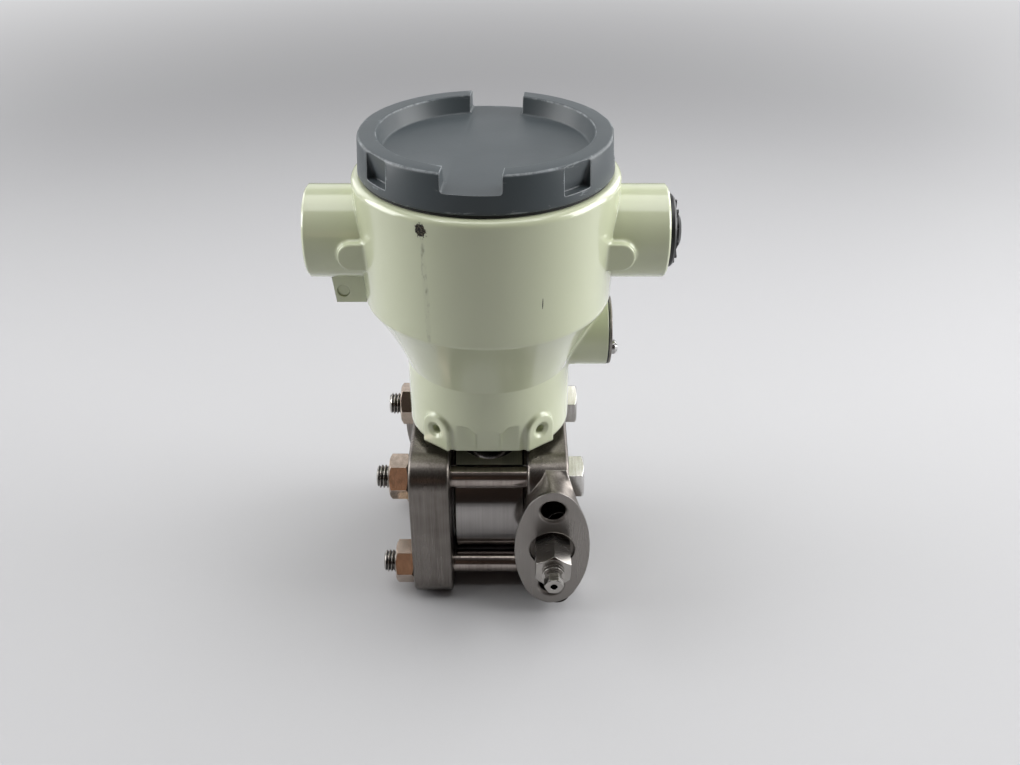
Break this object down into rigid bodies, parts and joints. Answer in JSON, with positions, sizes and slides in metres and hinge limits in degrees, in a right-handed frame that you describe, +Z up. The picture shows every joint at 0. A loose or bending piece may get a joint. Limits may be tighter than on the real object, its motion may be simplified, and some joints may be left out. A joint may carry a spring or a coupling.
{
  "type": "differential pressure transmitter",
  "caption": "Differential pressure transmitter: stainless measuring cell between bolted covers, painted housing with screwed cap, conduit hubs and a vented oval process port.",
  "frame": {"origin": "middle of the footprint box, at the level of the covers' undersides that it stands on", "axes": "+Z up along the housing's axis, -Y towards the front, where the high side's oval port faces, X along the conduit hubs and the cover bolts"},
  "size_m": [0.147, 0.122, 0.205],
  "materials": {
    "housing_paint": "glossy pale green-cream baked enamel",
    "cap_paint": "semi-gloss dark blue-grey enamel, edges rubbed",
    "cover_stainless": "cast stainless steel, ground and brushed",
    "cell_stainless": "turned stainless steel",
    "bolt_stainless": "drawn stainless steel, smooth",
    "fitting_stainless": "turned stainless steel",
    "cover_disc": "pressed stainless sheet",
    "screw_steel": "bright plated steel",
    "terminal_brass": "nickel-plated brass",
    "black_rubber": "nitrile rubber",
    "black_plastic": "moulded polyethylene",
    "white_gasket": "PTFE",
    "lead_rubber": "silicone-covered lead bundle",
    "board_green": "glass-epoxy circuit board",
    "block_plastic": "moulded thermoset",
    "can_aluminium": "drawn aluminium"
  },
  "bodies": {
    "measuring_cell": {"cell_body": "cell_stainless", "pressure_sensor": "cell_stainless", "high_diaphragm": "cell_stainless", "low_diaphragm": "cell_stainless", "high_gasket": "white_gasket", "low_gasket": "white_gasket", "high_cover": "cover_stainless", "low_cover": "cover_stainless", "neck_seal": "black_rubber", "vent_plug": "fitting_stainless", "sensor_leads": "lead_rubber", "bolt_front_high": "bolt_stainless", "nut_front_high": "bolt_stainless", "bolt_front_low": "bolt_stainless", "nut_front_low": "bolt_stainless", "bolt_rear_high": "bolt_stainless", "nut_rear_high": "bolt_stainless", "bolt_rear_low": "bolt_stainless", "nut_rear_low": "bolt_stainless"},
    "housing": {"housing": "housing_paint", "lock_screw_left": "screw_steel", "lock_screw_right": "screw_steel", "ground_screw": "housing_paint", "access_gasket": "black_rubber", "access_screw": "screw_steel", "electronics_can": "can_aluminium", "main_board": "board_green", "sensor_connector": "black_plastic", "terminal_block": "block_plastic", "board_screw_1": "screw_steel", "board_screw_2": "screw_steel", "board_screw_3": "screw_steel", "terminal_screw_minus": "terminal_brass", "terminal_screw_check": "terminal_brass", "terminal_screw_plus": "terminal_brass", "block_screw_rear": "screw_steel", "block_screw_front": "screw_steel"},
    "zero_adjuster": {"zero_adjuster": "screw_steel"},
    "access_cover": {"access_cover": "cover_disc"},
    "cap_seal": {"cap_oring": "black_rubber"},
    "cap": {"cap": "cap_paint"},
    "conduit_plug": {"conduit_plug": "black_plastic"},
    "vent_ball": {"vent_ball": "fitting_stainless"},
    "vent_stem": {"vent_stem": "fitting_stainless"}
  },
  "joints": [
    {"name": "housing_turn", "type": "hinge", "parent": "measuring_cell", "child": "housing", "pos_m": [-0.0029, 0.009, 0.078], "axis": [0, 0, 1], "range_deg": [-90, 90]},
    {"name": "cap_lift", "type": "slide", "parent": "housing", "child": "cap_seal", "axis": [0, 0, 1], "range_m": [0, 0.0106]},
    {"name": "cap_turn", "type": "hinge", "parent": "cap_seal", "child": "cap", "pos_m": [-0.0029, 0.009, 0.1907], "axis": [0, 0, 1], "range_deg": [0, 2520]},
    {"name": "conduit_plug_pull", "type": "slide", "parent": "housing", "child": "conduit_plug", "axis": [1, 0, 0], "range_m": [0, 0.012]},
    {"name": "access_cover_swing", "type": "hinge", "parent": "housing", "child": "access_cover", "pos_m": [0.0481, -0.0008, 0.1152], "axis": [-1, 0, 0], "range_deg": [0, 110]},
    {"name": "zero_adjuster_turn", "type": "hinge", "parent": "housing", "child": "zero_adjuster", "pos_m": [0.0425, 0.009, 0.118], "axis": [1, 0, 0], "continuous": true},
    {"name": "vent_travel", "type": "slide", "parent": "measuring_cell", "child": "vent_ball", "axis": [0, -1, 0], "range_m": [0, 0.003]},
    {"name": "vent_stem_turn", "type": "hinge", "parent": "vent_ball", "child": "vent_stem", "pos_m": [0.0241, -0.0528, 0.0372], "axis": [0, -1, 0], "range_deg": [0, 1083]}
  ],
  "couplings": [
    {"joint": "cap_lift", "follows": "cap_turn", "m_per_rad": 0.00023873},
    {"joint": "vent_stem_turn", "follows": "vent_travel", "rad_per_m": 6283.2}
  ]
}
